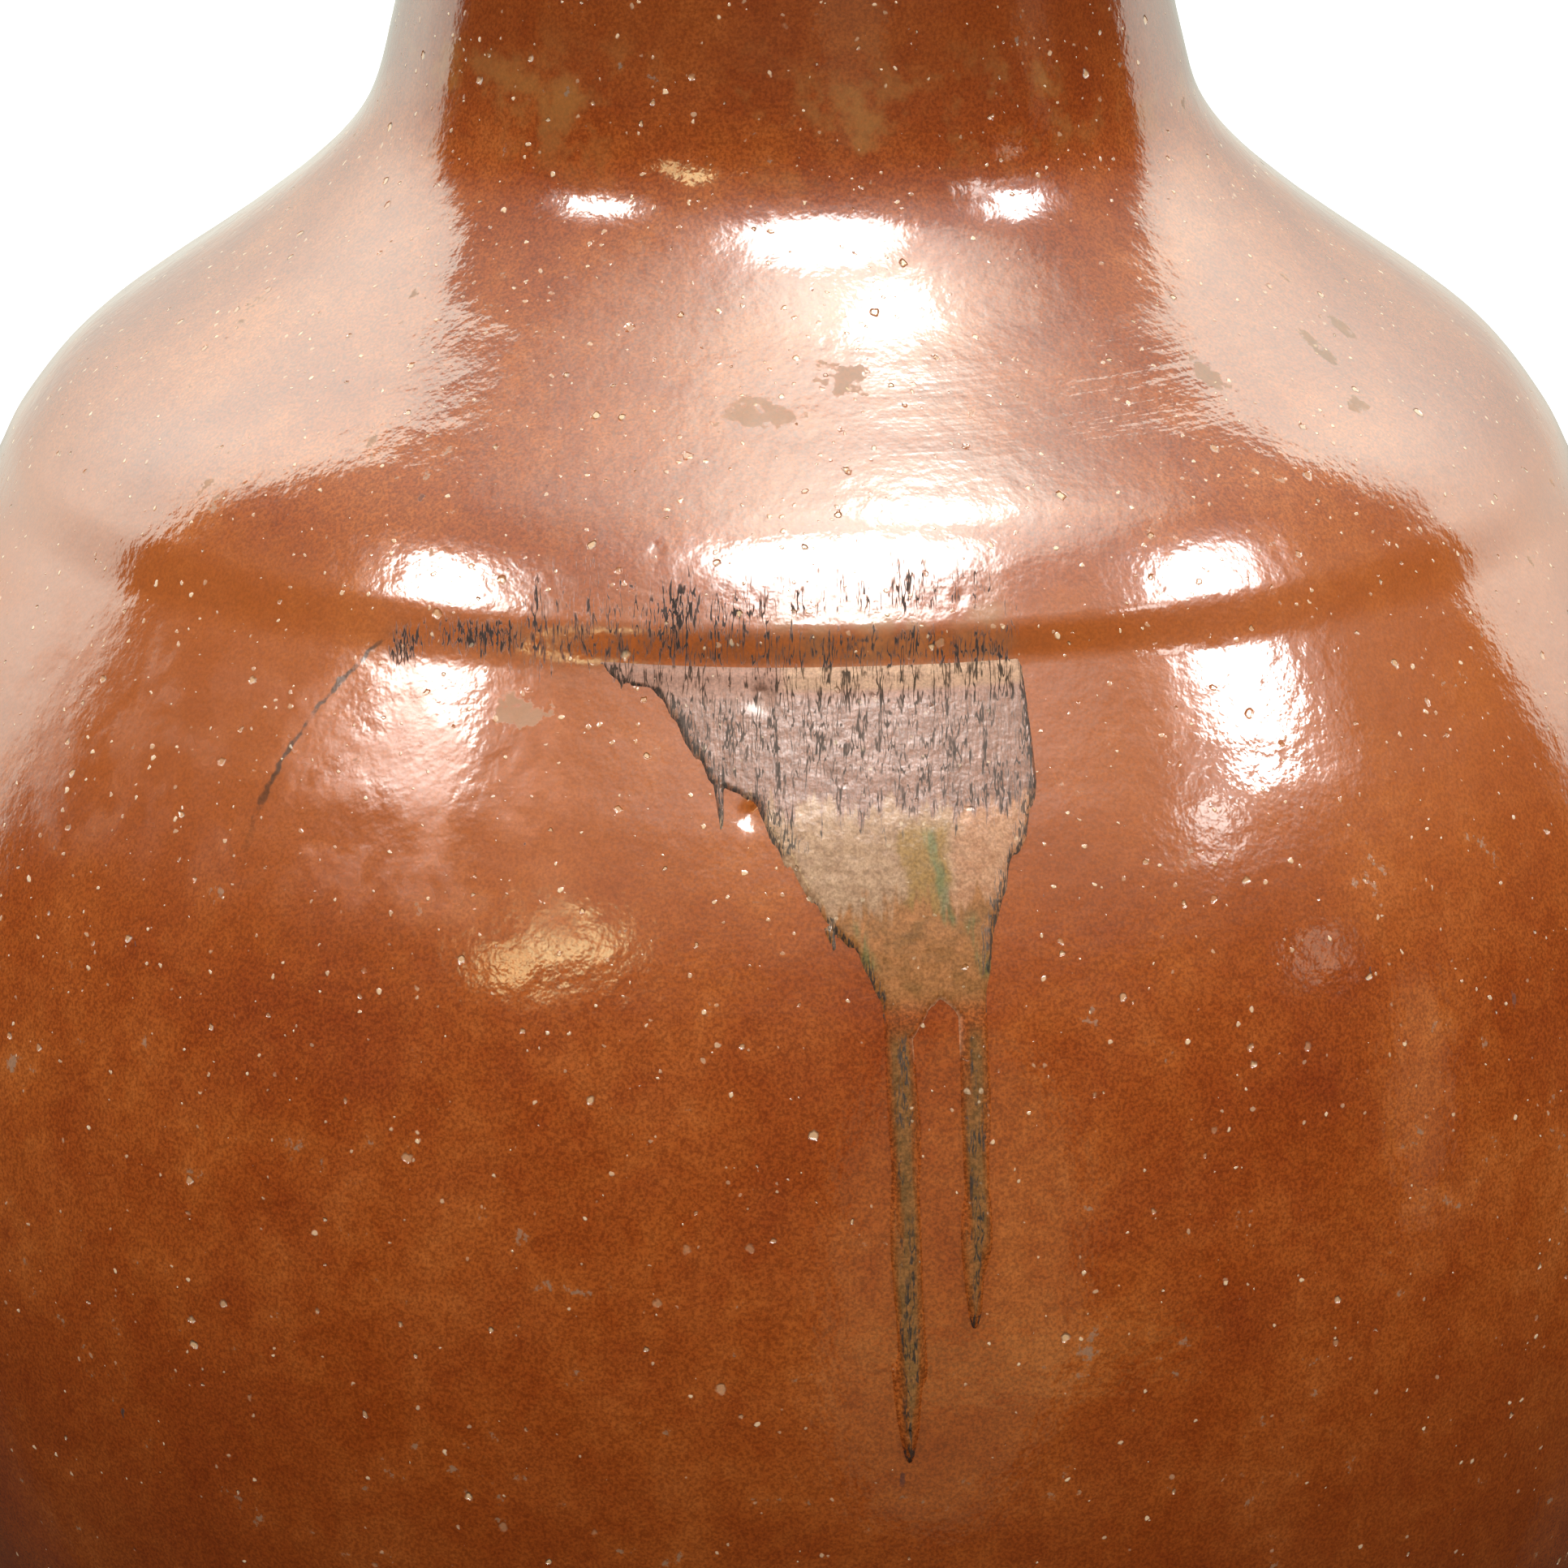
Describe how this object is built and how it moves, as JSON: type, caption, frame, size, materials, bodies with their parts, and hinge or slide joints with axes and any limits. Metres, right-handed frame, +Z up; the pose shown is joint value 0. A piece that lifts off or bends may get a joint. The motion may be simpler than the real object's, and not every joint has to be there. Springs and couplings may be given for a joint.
{
  "type": "sake bottle",
  "caption": "Round-bellied glazed stoneware sake bottle with a grooved shoulder, waisted neck, rolled lip, an ash run down the front and a turned wooden stopper.",
  "frame": {"origin": "centre of the foot, on the surface that the bottle stands on", "axes": "+Z up along the bottle's axis, the ash run faces -Y, +X to the right of somebody who looks at the run"},
  "size_m": [0.159, 0.1594, 0.234],
  "materials": {
    "bare_clay": "rough unglazed fired clay",
    "red_slip_glaze": "glossy red-brown slip glaze with fine pits",
    "ash_glaze": "satin grey-green natural ash glaze with dark hair streaks",
    "turned_wood": "oiled satin"
  },
  "bodies": {
    "bottle": {"base_disc": "bare_clay", "lower_body": "red_slip_glaze", "upper_body": "red_slip_glaze", "shoulder": "red_slip_glaze", "neck": "red_slip_glaze", "lip_ring": "red_slip_glaze", "ash_run": "ash_glaze"},
    "stopper": {"stopper": "turned_wood"}
  },
  "joints": [
    {"name": "stopper_lift", "type": "slide", "parent": "bottle", "child": "stopper", "axis": [0, 0, 1], "range_m": [0, 0.06]}
  ]
}
